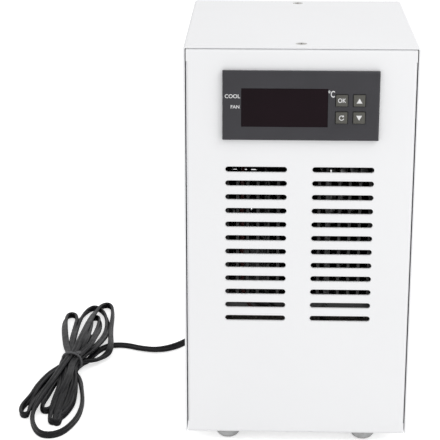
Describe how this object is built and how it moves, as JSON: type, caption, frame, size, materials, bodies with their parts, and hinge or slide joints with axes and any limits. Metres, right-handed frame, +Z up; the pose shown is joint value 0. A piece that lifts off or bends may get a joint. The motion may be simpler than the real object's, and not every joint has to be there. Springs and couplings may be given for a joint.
{
  "type": "aquarium chiller",
  "caption": "Small white sheet metal aquarium chiller with a panel controller, air slots, hose tails at the rear, rubber feet and a tied power cord; fan, heat sink and water block inside.",
  "frame": {"origin": "on the floor, under the middle of the footprint that runs from the button faces to the hose tail tips, the cord left out", "axes": "+Z up; the front panel with its controller faces -Y; +X is to the right when facing the front; the hose tails point along +Y"},
  "size_m": [0.2048, 0.1953, 0.2066],
  "materials": {
    "cover_paint": "satin powder coat",
    "chassis_paint": "satin powder coat",
    "screw_nickel": "nickel plated",
    "zinc_steel": "zinc plated",
    "foot_rubber": "soft satin",
    "controller_plastic": "fine texture",
    "housing_plastic": "matte",
    "clip_plastic": "matte",
    "window_filter": "gloss",
    "display_plastic": "matte",
    "circuit_board": "solder mask",
    "terminal_plastic": "matte",
    "switch_plastic": "matte",
    "fan_plastic": "satin",
    "winding_copper": "enamelled wire",
    "magnet_ferrite": "matte",
    "heat_sink_aluminium": "dark anodised",
    "module_ceramic": "ceramic",
    "block_aluminium": "milled",
    "seal_rubber": "matte",
    "insulation_foam": "closed cell foam",
    "tail_metal": "nickel plated brass",
    "lead_white": "satin insulation",
    "lead_black": "satin insulation",
    "lead_red": "satin insulation",
    "cord_black": "satin sheath",
    "bush_nylon": "satin",
    "tie_plastic": "satin",
    "plug_plastic": "satin",
    "button_caps": "soft satin",
    "plunger_plastic": "matte"
  },
  "bodies": {
    "chiller": {"cover": "cover_paint", "chassis": "chassis_paint", "cover_screws": "screw_nickel", "cover_nuts": "zinc_steel", "feet": "foot_rubber", "controller_bezel": "controller_plastic", "controller_housing": "housing_plastic", "controller_clips": "clip_plastic", "display_window": "window_filter", "display_module": "display_plastic", "display_board": "circuit_board", "main_board": "circuit_board", "terminal_block": "terminal_plastic", "button_switches": "switch_plastic", "fan_frame": "fan_plastic", "fan_stator": "winding_copper", "fan_screws": "screw_nickel", "heat_sink": "heat_sink_aluminium", "standoffs": "zinc_steel", "standoff_screws": "screw_nickel", "peltier_module": "module_ceramic", "water_block": "block_aluminium", "water_block_lid": "block_aluminium", "lid_gasket": "seal_rubber", "lid_screws": "screw_nickel", "clamp_screws": "screw_nickel", "insulation_cradle": "insulation_foam", "insulation_frame": "insulation_foam", "hose_tail_inlet": "tail_metal", "hose_tail_outlet": "tail_metal", "hose_tail_seals": "seal_rubber", "rear_grommets": "seal_rubber", "temperature_probe": "tail_metal", "probe_lead": "lead_white", "fan_lead": "lead_black", "module_lead_red": "lead_red", "module_lead_black": "lead_black", "supply_lead": "cord_black", "cord_bush": "bush_nylon", "power_cord": "cord_black", "power_cord_hank": "cord_black", "cord_tie": "tie_plastic", "plug_body": "plug_plastic", "plug_sleeve": "tail_metal", "plug_insulator": "plug_plastic"},
    "fan_rotor": {"fan_rotor": "fan_plastic", "fan_magnet": "magnet_ferrite"},
    "set_button": {"set_button": "button_caps", "set_plunger": "plunger_plastic"},
    "up_button": {"up_button": "button_caps", "up_plunger": "plunger_plastic"},
    "reset_button": {"reset_button": "button_caps", "reset_plunger": "plunger_plastic"},
    "down_button": {"down_button": "button_caps", "down_plunger": "plunger_plastic"}
  },
  "joints": [
    {"name": "fan_spin", "type": "hinge", "parent": "chiller", "child": "fan_rotor", "pos_m": [0, 0.03885, 0.109], "axis": [0, 1, 0], "continuous": true},
    {"name": "set_press", "type": "slide", "parent": "chiller", "child": "set_button", "axis": [0, 1, 0], "range_m": [0, 0.0005], "stiffness_N_per_m": 800, "springref_m": -0.0004},
    {"name": "up_press", "type": "slide", "parent": "chiller", "child": "up_button", "axis": [0, 1, 0], "range_m": [0, 0.0005], "stiffness_N_per_m": 800, "springref_m": -0.0004},
    {"name": "reset_press", "type": "slide", "parent": "chiller", "child": "reset_button", "axis": [0, 1, 0], "range_m": [0, 0.0005], "stiffness_N_per_m": 800, "springref_m": -0.0004},
    {"name": "down_press", "type": "slide", "parent": "chiller", "child": "down_button", "axis": [0, 1, 0], "range_m": [0, 0.0005], "stiffness_N_per_m": 800, "springref_m": -0.0004}
  ]
}
